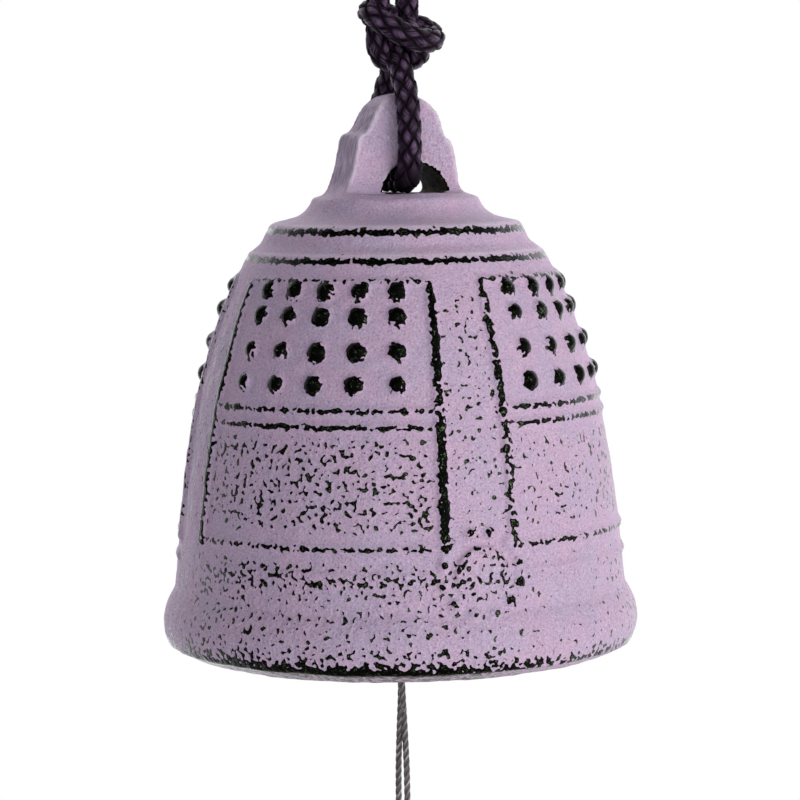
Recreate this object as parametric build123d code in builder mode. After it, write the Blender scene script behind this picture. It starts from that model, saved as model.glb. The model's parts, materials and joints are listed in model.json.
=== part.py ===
"""Cast-iron wind bell in the shape of a temple bell, hung by a braided cord.

Millimetres, +Z up. The origin is where the hanging loop bears on its hook.
The lug's flat faces look along Y and a striking seat faces -Y.
"""

import os
from math import cos, pi, radians, sin, sqrt, tan

from build123d import *

os.makedirs("parts", exist_ok=True)

# Clearances and cuts
cut_overrun = 3.0
running_clearance = 0.3
cord_clearance = 0.25

# Hanging cord, a round braid
cord_diameter = 3.4
loop_drop = 46.0  # hook to the middle of the main knot
knot_drop = 19.55  # middle of the main knot to the cord's middle in the lug hole
knot_wrap_radius = 3.3
knot_wrap_thickness = 3.6
knot_core_radius = 4.4
knot_wrap_tilt = 30
lug_cord_parting = 2.2  # half the strands' spacing where they leave the main knot
hole_bend_ease = 0.7
end_knot_rise = 8.0  # hook to the middle of the end knot
end_tail_length = 9.0
end_tail_lean = 24
hook_clear_radius = 5.0  # the strands' upper ends stay inside this ball about the hook

# Bell casting: heights are above the rim, drops below the crown, insets from the next radius out
lip_radius = 32.5
lip_height = 3.2
rim_edge_inset = 0.6
rim_edge_height = 1.5
rim_inset = 3.4
rim_wall = 1.8
foot_inset = 1.45
foot_height = 9.1
waist_narrowing = 4.35
shoulder_narrowing = 6.5
shoulder_power = 3.2
crown_height = 62.8
lower_ridge_drop = 7.9
ridge_band_inset = 1.75
ridge_band_drop = 6.6
upper_ridge_inset = 1.0
upper_ridge_drop = 4.4
shelf_edge_inset = 0.4
shelf_edge_drop = 4.0
crown_cove_inset = 2.9
crown_cove_drop = 3.3
crown_cove_depth = 0.35
crown_edge_inset = 2.8
crown_edge_drop = 0.6
crown_flat_inset = 1.9
wall_thickness = 3.1
crown_thickness = 4.2
inner_shoulder_drop = 16.8
inner_dome_rise = 0.475
side_points = 9
inner_side_points = 6

# Lug on the crown
lug_width = 15.2
lug_height = 13.6
lug_thickness = 8.0
lug_root = 2.0
hole_width = 9.6
hole_height = 4.1
hole_offset = 1.4
hole_draft = 1.0
hole_flare = 0.8

# Bands, ribs, lines and nipples
band_count = 4
band_half_angle = 9.3
rib_angle = 2.4
rib_height = 0.45
rib_low = 16.5
rib_top_gap = 3.4  # under the lower ridge
relief_root = 0.8
line_round = 0.7
line_height = 0.35
nipple_radius = 1.45
nipple_height = 0.85
nipple_pitch_angle = 12.3
nipple_columns = 5

# Striking seats, on two opposite bands
seat_count = 2
seat_height = 14.1
seat_ring_radius = 5.4
seat_disc_radius = 3.6
seat_disc_rise = 0.25
seat_petals = 12
petal_radius = 0.95
petal_height = 0.6

# Clapper
staple_wire = 1.8
staple_span = 6.4
staple_eye_drop = 6.6  # under the crown's inner face
staple_set_depth = 2.6
string_diameter = 1.4
hitch_diameter = 1.1
eye_knot_radius = 1.7
eye_knot_core_radius = 1.425
disc_diameter = 25.0
disc_thickness = 2.6
disc_height = 15.0
disc_hole = 2.4
disc_edge_round = 0.8
stop_knot_radius = 2.2
stop_knot_sink = 1.3

# Tail and paper strip, drops below the rim
tail_split_drop = 9.0
leg_diameter = 0.9
leg_bow = 1.75
leg_parting = 0.55
leg_gap = 0.3
strip_eye_drop = 33.9
strip_width = 40.0
strip_length = 130.0
strip_thickness = 0.4
strip_head = 4.5
strip_hole_radius = 1.5
strip_corner = 1.0

# Shares, chosen by hand
bend_share = 0.45
strand_bend_share = 0.49  # of the way from the main knot to the lug hole
lug_left_side_shares = [(-1.26, -0.05), (-1.09, 0.09), (-1.0, 0.22), (-0.93, 0.4), (-0.88, 0.55)]
lug_left_step_shares = [(-0.85, 0.59), (-0.72, 0.62)]
lug_left_top_shares = [(-0.62, 0.7), (-0.52, 0.81), (-0.4, 0.9), (-0.2, 0.98)]
lug_right_side_shares = [(1.24, -0.05), (1.04, 0.09), (1.01, 0.22), (0.97, 0.38), (0.92, 0.49)]
lug_right_step_shares = [(0.89, 0.525), (0.79, 0.555)]
lug_right_top_shares = [(0.735, 0.68), (0.67, 0.79), (0.54, 0.885), (0.3, 0.97)]
lug_edge_shares = [(1.0, 0.52), (0.9, 0.8), (0.72, 0.94), (0.4, 1.0)]
sling_route_shares = [(0.0, 1.06), (0.25, 0.8), (0.95, 0.5), (1.0, 0.18), (0.12, -0.11)]
line_height_shares = [0.939, 0.641, 0.603, 0.319, 0.255]  # of the lower ridge's height
nipple_row_shares = [0.918, 0.86, 0.778, 0.701]  # of the lower ridge's height
leg_route_shares = [(0.0, 0.0), (0.5, 0.32), (1.0, 0.66), (0.97, 0.9)]

# Places that follow from the sizes
cord_radius = cord_diameter / 2
knot_ball_radius = knot_wrap_radius + knot_wrap_thickness / 2
main_knot_z = -loop_drop
hole_cord_z = main_knot_z - knot_drop
hole_arch_radius = (hole_height**2 + (hole_width / 2) ** 2) / (2 * hole_height)
hole_arch_reach = hole_arch_radius - cord_radius - cord_clearance
cord_above_arch = sqrt(hole_arch_reach**2 - hole_offset**2)
cord_above_crown = hole_height - hole_arch_radius + cord_above_arch
rim_z = hole_cord_z - cord_above_crown - crown_height
rim_edge_radius = lip_radius - rim_edge_inset
rim_radius = rim_edge_radius - rim_inset
rim_bore_radius = rim_radius - rim_wall
foot_radius = lip_radius - foot_inset
lower_ridge_height = crown_height - lower_ridge_drop
lower_ridge_radius = foot_radius - waist_narrowing - shoulder_narrowing
ridge_band_radius = lower_ridge_radius - ridge_band_inset
upper_ridge_radius = ridge_band_radius - upper_ridge_inset
shelf_edge_radius = upper_ridge_radius - shelf_edge_inset
crown_cove_radius = shelf_edge_radius - crown_cove_inset
crown_edge_radius = crown_cove_radius - crown_edge_inset
crown_flat_radius = crown_edge_radius - crown_flat_inset
inner_shoulder_height = crown_height - inner_shoulder_drop
rib_high = lower_ridge_height - rib_top_gap
cord_beside_lug = lug_thickness / 2 + cord_clearance + cord_radius
hole_bend_radius = hole_flare + cord_clearance + cord_radius + hole_bend_ease
sling_parting = cord_radius + cord_clearance
sling_bow = hook_clear_radius - running_clearance
eye_z = rim_z + crown_height - crown_thickness - staple_eye_drop
hitch_ring_radius = (staple_wire + hitch_diameter) / 2 + cord_clearance
eye_knot_z = eye_z - hitch_ring_radius - hitch_diameter / 2 - running_clearance - eye_knot_radius
disc_z = rim_z + disc_height
stop_knot_z = disc_z - disc_thickness / 2 - stop_knot_sink
tail_split_z = rim_z - tail_split_drop
strip_eye_z = rim_z - strip_eye_drop
strip_hole_z = strip_eye_z + leg_diameter / 2 + cord_clearance - strip_hole_radius
panel_arc = 360 / band_count - 2 * band_half_angle


def body_radius(height):
    """Outer radius of the bell between the foot of its lip, or just below it, and the lower ridge."""
    climb = max(0, (height - foot_height) / (lower_ridge_height - foot_height))
    return foot_radius - waist_narrowing * climb - shoulder_narrowing * climb**shoulder_power


def body_curve(low, high, proud, points=side_points):
    """Points up the bell's side, standing proud of its surface."""
    heights = [low + (high - low) * step / (points - 1) for step in range(points)]
    return [(body_radius(height) + proud, height) for height in heights]


def radial_plane(angle):
    """Upright plane through the bell's axis: its x runs outwards, its y upwards from the rim."""
    turn = radians(angle)
    return Plane(
        origin=(0, 0, rim_z),
        x_dir=(cos(turn), sin(turn), 0),
        z_dir=(sin(turn), -cos(turn), 0),
    )


def on_bell(angle, height, depth):
    """A place on the bell's side, sunk by depth, with its z pointing outwards."""
    turn = radians(angle)
    outwards = Vector(cos(turn), sin(turn), 0)
    place = outwards * (body_radius(height) - depth) + Vector(0, 0, rim_z + height)
    return Plane(origin=place, x_dir=(0, 0, 1), z_dir=outwards)


def bend_radii(points):
    """The largest bend that each inner point's two runs allow."""
    radii = []
    for before, here, after in zip(points, points[1:], points[2:]):
        run_in = Vector(*here) - Vector(*before)
        run_out = Vector(*after) - Vector(*here)
        half_turn = radians(run_in.get_angle(run_out)) / 2
        radii.append(bend_share * min(run_in.length, run_out.length) / tan(half_turn))
    return radii


def report_tube(name, tube, line, diameter, radii):
    """Print a tube's bends and how its volume compares with section times length."""
    length = sum(edge.length for edge in line.edges())
    plain = pi * diameter**2 / 4 * length
    bends = ", ".join(f"{radius:.2f}" for radius in radii)
    print(f"{name}: length {length:.1f}, bends {bends}, volume ratio {tube.volume / plain:.4f}")


def band_angles():
    """Middles of the plain upright bands, the first one facing -Y."""
    return [-90 + 360 / band_count * band for band in range(band_count)]


# Lug: its front outline and its side outline, extruded through each other
lug_front = Plane(origin=(0, 0, rim_z + crown_height), x_dir=(1, 0, 0), z_dir=(0, -1, 0))
lug_side = Plane(origin=(0, 0, rim_z + crown_height), x_dir=(0, 1, 0), z_dir=(1, 0, 0))
lug_half = lug_width / 2


def lug_points(shares, half_size):
    """Points of a lug outline from shares of its half size and its height."""
    return [(across * half_size, up * lug_height) for across, up in shares]


def hole_arch(draft):
    """Edges of the flat-bottomed arch of the lug's hole, narrowed by draft on its right."""
    left = (hole_offset - hole_width / 2, 0)
    right = (hole_offset + hole_width / 2 - draft, 0)
    with BuildLine() as arch:
        ThreePointArc(left, (hole_offset - draft / 2, hole_height), right)
        Line(right, left)
    return arch.edges()


with BuildPart() as lug_form:
    with BuildSketch(lug_front):
        with BuildLine():
            for side_shares, step_shares, top_shares in (
                (lug_left_side_shares, lug_left_step_shares, lug_left_top_shares),
                (lug_right_side_shares, lug_right_step_shares, lug_right_top_shares),
            ):
                side = lug_points(side_shares, lug_half)
                step = lug_points(step_shares, lug_half)
                top = lug_points(top_shares, lug_half)
                Line((0, -lug_root), (side[0][0], -lug_root))
                Line((side[0][0], -lug_root), side[0])
                Spline(*side)
                Polyline(side[-1], *step)
                Spline(step[-1], *top, (0, lug_height))
        make_face()
    extrude(amount=lug_thickness, both=True)
    with BuildSketch(lug_side):
        with BuildLine():
            edge = lug_points(lug_edge_shares, lug_thickness / 2)
            Line((0, -lug_root), (edge[0][0], -lug_root))
            Line((edge[0][0], -lug_root), edge[0])
            Spline(*edge)
            Line(edge[-1], (0, edge[-1][1]))
            mirror(about=Plane.YZ)
        make_face()
    extrude(amount=lug_width, both=True, mode=Mode.INTERSECT)

# Bell casting: turned shell, lug, relief, hole and staple sockets
with BuildPart() as bell_casting:
    with BuildSketch(radial_plane(0)):
        with BuildLine():
            foot = (foot_radius, foot_height)
            body = body_curve(foot_height, lower_ridge_height, 0)
            cove_foot = (crown_cove_radius, crown_height - crown_cove_drop)
            crown_edge = (crown_edge_radius, crown_height - crown_edge_drop)
            inner = body_curve(foot_height, inner_shoulder_height, -wall_thickness, inner_side_points)
            inner_top = (0, crown_height - crown_thickness)
            crown_cove = (
                (cove_foot[0] + crown_edge[0]) / 2 - crown_cove_depth,
                (cove_foot[1] + crown_edge[1]) / 2 - crown_cove_depth,
            )
            dome = (
                inner[-1][0] / sqrt(2),
                inner[-1][1] + (inner_top[1] - inner[-1][1]) / sqrt(2) + inner_dome_rise,
            )
            Line((rim_bore_radius, 0), (rim_radius, 0))
            Line((rim_radius, 0), (rim_edge_radius, rim_edge_height))
            Spline((rim_edge_radius, rim_edge_height), (lip_radius, lip_height), foot)
            Spline(*body)
            Polyline(
                body[-1],
                (ridge_band_radius, crown_height - ridge_band_drop),
                (upper_ridge_radius, crown_height - upper_ridge_drop),
                (shelf_edge_radius, crown_height - shelf_edge_drop),
                cove_foot,
            )
            ThreePointArc(cove_foot, crown_cove, crown_edge)
            Line(crown_edge, (crown_flat_radius, crown_height))
            Line((crown_flat_radius, crown_height), (0, crown_height))
            Line((0, crown_height), inner_top)
            ThreePointArc(inner_top, dome, inner[-1])
            Spline(*reversed(inner), (rim_bore_radius, 0))
        make_face()
    revolve(axis=Axis.Z)
    add(lug_form.part)
    # Hole through the lug, narrower at the back, with a countersink where the cord bends
    for way, draft in ((1, 0), (-1, hole_draft)):
        with BuildSketch(lug_front.offset(way * lug_thickness)):
            make_face(hole_arch(draft))
    loft(ruled=True, mode=Mode.SUBTRACT)
    for way in (1, -1):
        for depth, radius in ((-hole_flare, 0), (hole_flare, 2 * hole_flare)):
            with BuildSketch(lug_front.offset(way * (lug_thickness / 2 + depth))):
                with Locations((0, cord_above_crown)):
                    Circle(cord_radius + cord_clearance + radius)
        loft(ruled=True, mode=Mode.SUBTRACT)
    # Ribs that bound the bands
    for middle in band_angles():
        for side in (-1, 1):
            with BuildSketch(radial_plane(middle + side * band_half_angle - rib_angle / 2)):
                with BuildLine():
                    outer = body_curve(rib_low, rib_high, rib_height)
                    root = body_curve(rib_low, rib_high, -relief_root)
                    Spline(*outer)
                    Line(outer[-1], root[-1])
                    Spline(*reversed(root))
                    Line(root[0], outer[0])
                make_face()
    revolve(axis=Axis.Z, revolution_arc=rib_angle)
    # Lines across the panels, from rib to rib
    for middle in band_angles():
        for share in line_height_shares:
            height = share * lower_ridge_height
            with BuildSketch(radial_plane(middle + band_half_angle)):
                with Locations((body_radius(height) + line_height - line_round, height)):
                    Circle(line_round)
    revolve(axis=Axis.Z, revolution_arc=panel_arc)
    # Nipples, in a panel between each two bands
    nipple_places = [
        on_bell(
            middle + 180 / band_count + (column - (nipple_columns - 1) / 2) * nipple_pitch_angle,
            share * lower_ridge_height,
            nipple_radius - nipple_height,
        )
        for middle in band_angles()
        for column in range(nipple_columns)
        for share in nipple_row_shares
    ]
    with Locations(*nipple_places):
        Sphere(nipple_radius)
    # Striking seats: a ring of petals round a low disc
    for seat in range(seat_count):
        seat_angle = -90 + 360 / seat_count * seat
        petal_places = []
        for petal in range(seat_petals):
            turn = 2 * pi * (petal + 1 / 2) / seat_petals
            height = seat_height + seat_ring_radius * sin(turn)
            swing = seat_ring_radius * cos(turn) / body_radius(height) * 180 / pi
            petal_places.append(on_bell(seat_angle + swing, height, petal_radius - petal_height))
        with Locations(*petal_places):
            Sphere(petal_radius)
        with Locations(on_bell(seat_angle, seat_height, relief_root)):
            Cylinder(
                seat_disc_radius,
                relief_root + seat_disc_rise,
                align=(Align.CENTER, Align.CENTER, Align.MIN),
            )
    # Sockets for the staple's legs
    socket_top = rim_z + crown_height - crown_thickness + staple_set_depth
    with Locations((staple_span / 2, 0, socket_top), (-staple_span / 2, 0, socket_top)):
        Cylinder(
            staple_wire / 2,
            crown_thickness + cut_overrun,
            align=(Align.CENTER, Align.CENTER, Align.MAX),
            mode=Mode.SUBTRACT,
        )
bell_casting.part.label = "bell_casting"
export_step(bell_casting.part, "parts/bell_casting.step")

# Wire staple under the crown
with BuildPart() as clapper_staple:
    with BuildLine() as staple_line:
        leg = staple_span / 2
        Line((-leg, 0, socket_top), (-leg, 0, eye_z + leg))
        ThreePointArc((-leg, 0, eye_z + leg), (0, 0, eye_z), (leg, 0, eye_z + leg))
        Line((leg, 0, eye_z + leg), (leg, 0, socket_top))
    with BuildSketch(Plane(origin=(-leg, 0, socket_top), z_dir=(0, 0, -1))):
        Circle(staple_wire / 2)
    sweep()
clapper_staple.part.label = "clapper_staple"
export_step(clapper_staple.part, "parts/clapper_staple.step")

# Block over the hook with a ball-shaped hollow, which rounds off the strands' upper ends
with BuildPart() as hook_block:
    Cylinder(
        2 * end_knot_rise,
        2 * end_knot_rise,
        align=(Align.CENTER, Align.CENTER, Align.MIN),
    )
    Sphere(hook_clear_radius, mode=Mode.SUBTRACT)

# Strands of the hanging loop, bowed apart so that a hook passes between them
for side, name in ((-1, "sling_left"), (1, "sling_right")):
    knot_top = main_knot_z + knot_ball_radius + running_clearance
    sling_points = [
        (side * (sling_parting + (sling_bow - sling_parting) * bow), 0, knot_top * up)
        for bow, up in sling_route_shares
    ]
    sling_radii = bend_radii(sling_points)
    with BuildPart() as sling:
        with BuildLine() as sling_line:
            FilletPolyline(*sling_points, radius=sling_radii)
        with BuildSketch(Plane(origin=sling_line.line @ 0, z_dir=sling_line.line % 0)):
            Circle(cord_radius)
        sweep()
        report_tube(name, sling.part, sling_line.line, cord_diameter, sling_radii)
        add(hook_block.part, mode=Mode.SUBTRACT)
        with Locations((0, 0, main_knot_z)):
            Sphere(knot_ball_radius + running_clearance, mode=Mode.SUBTRACT)
    sling.part.label = name
    export_step(sling.part, f"parts/{name}.step")

# Main knot: two crossed wraps of the cord round a core
with BuildPart() as main_knot:
    with Locations((0, 0, main_knot_z)):
        Sphere(knot_core_radius)
        for tilt in (-knot_wrap_tilt, knot_wrap_tilt):
            Torus(knot_wrap_radius, knot_wrap_thickness / 2, rotation=(tilt, tilt / 2, 0))
main_knot.part.label = "main_knot"
export_step(main_knot.part, "parts/main_knot.step")

# End knot above the hook, with two cut tails, hollowed under for the strands' ends
with BuildPart() as end_knot:
    with Locations((0, 0, end_knot_rise)):
        Sphere(knot_core_radius)
        Torus(knot_wrap_radius, knot_wrap_thickness / 2, rotation=(knot_wrap_tilt, 0, 0))
        for side in (-1, 1):
            with Locations(Location((0, 0, 0), (0, side * end_tail_lean, 0))):
                Cylinder(
                    cord_radius,
                    knot_core_radius + end_tail_length,
                    align=(Align.CENTER, Align.CENTER, Align.MIN),
                )
    Sphere(hook_clear_radius + running_clearance, mode=Mode.SUBTRACT)
end_knot.part.label = "end_knot"
export_step(end_knot.part, "parts/end_knot.step")

# Cord down the lug's front, through its hole and up its back
strand_bend_z = main_knot_z + (hole_cord_z - main_knot_z) * strand_bend_share
lug_cord_points = [
    (0, -lug_cord_parting, main_knot_z - knot_wrap_radius),
    (0, -cord_beside_lug, strand_bend_z),
    (0, -cord_beside_lug, hole_cord_z),
    (0, cord_beside_lug, hole_cord_z),
    (0, cord_beside_lug, strand_bend_z),
    (0, lug_cord_parting, main_knot_z - knot_wrap_radius),
]
lug_cord_radii = bend_radii(lug_cord_points)
lug_cord_radii[1] = hole_bend_radius
lug_cord_radii[2] = hole_bend_radius
with BuildPart() as lug_cord:
    with BuildLine() as lug_cord_line:
        FilletPolyline(*lug_cord_points, radius=lug_cord_radii)
    with BuildSketch(Plane(origin=lug_cord_line.line @ 0, z_dir=lug_cord_line.line % 0)):
        Circle(cord_radius)
    sweep()
    report_tube("lug_cord", lug_cord.part, lug_cord_line.line, cord_diameter, lug_cord_radii)
    with Locations((0, 0, main_knot_z)):
        Sphere(knot_ball_radius + running_clearance, mode=Mode.SUBTRACT)
lug_cord.part.label = "lug_cord"
export_step(lug_cord.part, "parts/lug_cord.step")

# String's turn round the staple's eye
with BuildPart() as string_hitch:
    with Locations(Location((0, 0, eye_z), (0, 90, 0))):
        Torus(hitch_ring_radius, hitch_diameter / 2)
string_hitch.part.label = "string_hitch"
export_step(string_hitch.part, "parts/string_hitch.step")

# Knot under the eye
with BuildPart() as eye_knot:
    with Locations((0, 0, eye_knot_z)):
        Sphere(eye_knot_core_radius)
        Torus(eye_knot_radius - hitch_diameter / 2, hitch_diameter / 2, rotation=(knot_wrap_tilt, 0, 0))
eye_knot.part.label = "eye_knot"
export_step(eye_knot.part, "parts/eye_knot.step")

# String from the eye knot down through the disc
with BuildPart() as clapper_string:
    string_top = eye_knot_z - eye_knot_radius - running_clearance
    string_foot = disc_z - disc_thickness / 2
    with BuildSketch(Plane.XY.offset(string_foot)):
        Circle(string_diameter / 2)
    extrude(amount=string_top - string_foot)
clapper_string.part.label = "clapper_string"
export_step(clapper_string.part, "parts/clapper_string.step")

# Clapper disc
with BuildPart() as clapper_disc:
    with BuildSketch(Plane.XY.offset(disc_z - disc_thickness / 2)):
        Circle(disc_diameter / 2)
    extrude(amount=disc_thickness)
    fillet(clapper_disc.edges().filter_by(GeomType.CIRCLE), disc_edge_round)
    with Locations((0, 0, disc_z)):
        Hole(disc_hole / 2)
clapper_disc.part.label = "clapper_disc"
export_step(clapper_disc.part, "parts/clapper_disc.step")

# Knot that carries the disc, flat where the disc sits on it
with BuildPart() as stop_knot:
    with Locations((0, 0, stop_knot_z)):
        Sphere(stop_knot_radius)
    split(bisect_by=Plane.XY.offset(disc_z - disc_thickness / 2), keep=Keep.BOTTOM)
stop_knot.part.label = "stop_knot"
export_step(stop_knot.part, "parts/stop_knot.step")

# String from the stop knot to where its legs part
with BuildPart() as tail_string:
    tail_top = stop_knot_z - stop_knot_radius - running_clearance
    with BuildSketch(Plane.XY.offset(tail_split_z)):
        Circle(string_diameter / 2)
    extrude(amount=tail_top - tail_split_z)
tail_string.part.label = "tail_string"
export_step(tail_string.part, "parts/tail_string.step")

# Two legs of the string, down to the strip's hole and through it
leg_top = tail_split_z - leg_gap
leg_points = [
    (0, -(leg_parting + (leg_bow - leg_parting) * bow), leg_top + (strip_eye_z - leg_top) * down)
    for bow, down in leg_route_shares
]
turn_y = leg_points[-1][1]
leg_points += [(0, turn_y, strip_eye_z), (0, -turn_y, strip_eye_z)]
leg_points += [(0, -y, z) for _, y, z in reversed(leg_points[:4])]
leg_radii = bend_radii(leg_points)
with BuildPart() as strip_loop:
    with BuildLine() as leg_line:
        FilletPolyline(*leg_points, radius=leg_radii)
    with BuildSketch(Plane(origin=leg_line.line @ 0, z_dir=leg_line.line % 0)):
        Circle(leg_diameter / 2)
    sweep()
strip_loop.part.label = "strip_loop"
export_step(strip_loop.part, "parts/strip_loop.step")
report_tube("strip_loop", strip_loop.part, leg_line.line, leg_diameter, leg_radii)

# Paper strip with its punched hole
with BuildPart() as paper_strip:
    strip_middle_z = strip_eye_z + strip_head - strip_length / 2
    with BuildSketch(Plane.XZ.offset(-strip_thickness / 2)):
        with Locations((0, strip_middle_z)):
            RectangleRounded(strip_width, strip_length, strip_corner)
        with Locations((0, strip_hole_z)):
            Circle(strip_hole_radius, mode=Mode.SUBTRACT)
    extrude(amount=strip_thickness)
paper_strip.part.label = "paper_strip"
export_step(paper_strip.part, "parts/paper_strip.step")
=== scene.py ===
import json
from math import atan, cos, pi, radians, sin, sqrt, tau

import bpy
import numpy as np
from mathutils import Matrix, Vector


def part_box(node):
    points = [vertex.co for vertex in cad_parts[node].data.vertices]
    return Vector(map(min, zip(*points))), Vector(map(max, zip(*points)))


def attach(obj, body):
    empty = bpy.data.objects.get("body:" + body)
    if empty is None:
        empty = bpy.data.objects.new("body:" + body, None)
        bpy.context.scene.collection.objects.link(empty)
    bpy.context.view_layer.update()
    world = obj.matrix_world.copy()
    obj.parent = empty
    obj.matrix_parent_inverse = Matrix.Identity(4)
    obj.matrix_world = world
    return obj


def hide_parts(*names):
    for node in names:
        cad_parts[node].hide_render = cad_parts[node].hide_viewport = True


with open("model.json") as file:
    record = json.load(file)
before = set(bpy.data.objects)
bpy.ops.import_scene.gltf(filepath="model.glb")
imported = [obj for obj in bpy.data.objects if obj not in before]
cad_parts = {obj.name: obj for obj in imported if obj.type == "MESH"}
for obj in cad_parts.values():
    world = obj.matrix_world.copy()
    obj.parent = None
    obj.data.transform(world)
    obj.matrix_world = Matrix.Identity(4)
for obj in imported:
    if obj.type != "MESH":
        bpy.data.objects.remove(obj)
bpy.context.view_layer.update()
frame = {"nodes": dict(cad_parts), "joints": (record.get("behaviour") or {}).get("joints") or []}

# Everything is in metres; sizes in millimetres are written with this factor
MM = 0.001

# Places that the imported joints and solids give
joint_at = {joint["name"]: np.array(joint["pos_m"], float) for joint in frame["joints"]}
MAIN_KNOT = joint_at["bell_twist"]
EYE_KNOT = joint_at["clapper_turn"]
STOP_KNOT = joint_at["tail_swing"]
TAIL_SPLIT = joint_at["strip_twist"]
STRIP_EYE = joint_at["strip_sway"]
RIM_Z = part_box("bell_casting")[0][2]

# Camera
CAMERA_AZIMUTH = radians(20.5)
CAMERA_PITCH = radians(5.0)
CAMERA_ROLL = radians(-0.75)
CAMERA_DISTANCE = 445 * MM
CAMERA_RISE = 73.3 * MM
CAMERA_ASIDE = 0.3 * MM
LENS = 146
SENSOR = 36

# Cords
CORD_DIAMETER = 3.4 * MM
CORD_RADIUS = CORD_DIAMETER / 2
LEG_DIAMETER = 0.9 * MM
HITCH_DIAMETER = 1.1 * MM

# Braid of the hanging cord: strands each way, the length of one turn, and each strand's section
BRAID_COUNT = 5
BRAID_PITCH = 13.6 * MM
STRAND_HALF_WIDTH = 0.41 * CORD_RADIUS
STRAND_HALF_DEPTH = 0.17 * CORD_RADIUS
STRAND_SWING = 0.15 * CORD_RADIUS
STRAND_MIDDLE = CORD_RADIUS - STRAND_HALF_DEPTH - STRAND_SWING
STRAND_SIDES = 8
CORE_RADIUS = STRAND_MIDDLE - 0.05 * MM
TIP_LENGTH = 1.6 * MM

# Twist of the string: its plies, the length of one turn, and shares of a quarter of its diameter
PLY_COUNT = 3
PLY_PITCH = 3.6 * MM
PLY_OUT_SHARE = 0.95
PLY_WIDTH_SHARE = 1.2
PLY_DEPTH_SHARE = 1.05

# Bell, as its source gives it: heights are above the rim
FOOT_RADIUS = 31.05 * MM
CROWN_HEIGHT = 62.8 * MM
BAND_COUNT = 4
BAND_HALF_ANGLE = radians(9.3)
HOLE_OFFSET = 1.4 * MM
HOLE_HEIGHT = 4.1 * MM
HOLE_HALF_WIDTH = 4.8 * MM
LUG_HALF_THICKNESS = 4.0 * MM
SEAT_HEIGHT = 14.1 * MM
SEAT_REACH = 5.0 * MM
NIPPLE_HEIGHTS = np.array([50.4, 47.2, 42.7, 38.5]) * MM
NIPPLE_PITCH = radians(12.3)
NIPPLE_ASIDE = 2
NIPPLE_RADIUS = 1.35 * MM

# Zones of the bell's surface: heights above the rim between which each lies, or over which it fades
LOW_PANEL = (19.5 * MM, 31.8 * MM)
BAND_SPAN = (19 * MM, 50 * MM)
RIB_SPAN = (17 * MM, 52 * MM)
# Heights of the painted rim light down the bell's left side
LEFT_RIM_LIGHT_SPAN = (13 * MM, 45 * MM)
RUBBED_ROW = (11.5 * MM, 14.5 * MM)
RIM_LINE = (1.2 * MM, 2.0 * MM)
LIP_FADE = (1.9 * MM, 4.6 * MM)
FOOT_FADE = (15 * MM, 16.5 * MM)
SHOULDER_FADE = (52.5 * MM, 53.5 * MM)
CROWN_FADE = (59.3 * MM, 60 * MM)
PETAL_RING = (4.3 * MM, 6.5 * MM)
RIB_REACH = 0.025
# Angle over which that painted rim light fades
LEFT_RIM_LIGHT_REACH = 0.17
LINE_REACH = 0.45 * MM
ROW_STEP = 2.2 * MM

# Where hands and weather rub the bell: paint is whole where the wear is well below 0, and gone above it
HANDLED_ANGLE = radians(-135)
BASE_WEAR = -0.36
LEDGE_WEAR = {54.3 * MM: 0.62, 58.0 * MM: 0.62}
LINE_WEAR = {51.95 * MM: 0.24, 35.19 * MM: 0.32, 33.1 * MM: 0.32, 17.51 * MM: 0.25}
LOW_PANEL_WEAR = 0.26
PANEL_WEAR_SHARES = np.array([0.95, 0.66, 0.8, 0.7])
BAND_WEAR = 0.17
NIPPLE_WEAR = 0.44
RIB_WEAR = 0.24
FOOT_WEAR = 0.1
ROW_WEAR = 0.055
SEAT_WEAR = 0.1
LIP_WEAR = 0.16
RIM_LINE_WEAR = 0.08

# Bell skin and clapper disc: mesh size, and swells as height, length and seed
SKIN_GRAIN = 0.32 * MM
SKIN_PARTING = 30 * MM
SKIN_SWELLS = ((0.05 * MM, 9 * MM, 1), (0.02 * MM, 2.2 * MM, 2))
PROUD_ROUNDS = 36
HOLLOW_SHARE = 0.1
HOLLOW_LAP = (1 * MM, 5 * MM)
HOLLOW_SINK = 0.06 * MM
DISC_GRAIN = 0.35 * MM
DISC_SWELLS = ((0.05 * MM, 5 * MM, 3), (0.02 * MM, 1.5 * MM, 4))

# Paper strip
STRIP_THICKNESS = 0.3 * MM
STRIP_HOLE_RADIUS = 1.5 * MM
STRIP_HOLE_DROP = 0.8 * MM
STRIP_BOW = 2.4 * MM
STRIP_CUP = 0.8 * MM
STRIP_FINE = 0.4 * MM
STRIP_COARSE = 1.2 * MM
STRIP_FINE_REACH = 3 * MM

# Lights and floor
FILL = 0.12
FRONT = 1.15
BACKDROP = 2.6
KEY_ANGLE = radians(60)
KEY_RISE = 0.07
KEY_DISTANCE = 0.7
KEY_AIM = 35 * MM
KEY_SIZE = 0.8
KEY_ENERGY = 5.6
FLOOR_RADIUS = 0.3
FLOOR_Z = -0.33
FLOOR_CORNERS = 64


class Value:
    """A number or colour that changes over a surface; arithmetic on it adds Math nodes."""

    def __init__(self, finish, socket):
        self.finish = finish
        self.socket = socket

    def __add__(self, other):
        return self.finish.maths("ADD", self, other)

    def __sub__(self, other):
        return self.finish.maths("SUBTRACT", self, other)

    def __mul__(self, other):
        return self.finish.maths("MULTIPLY", self, other)

    def __rsub__(self, other):
        return self.finish.maths("SUBTRACT", other, self)

    __radd__ = __add__
    __rmul__ = __mul__


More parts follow.
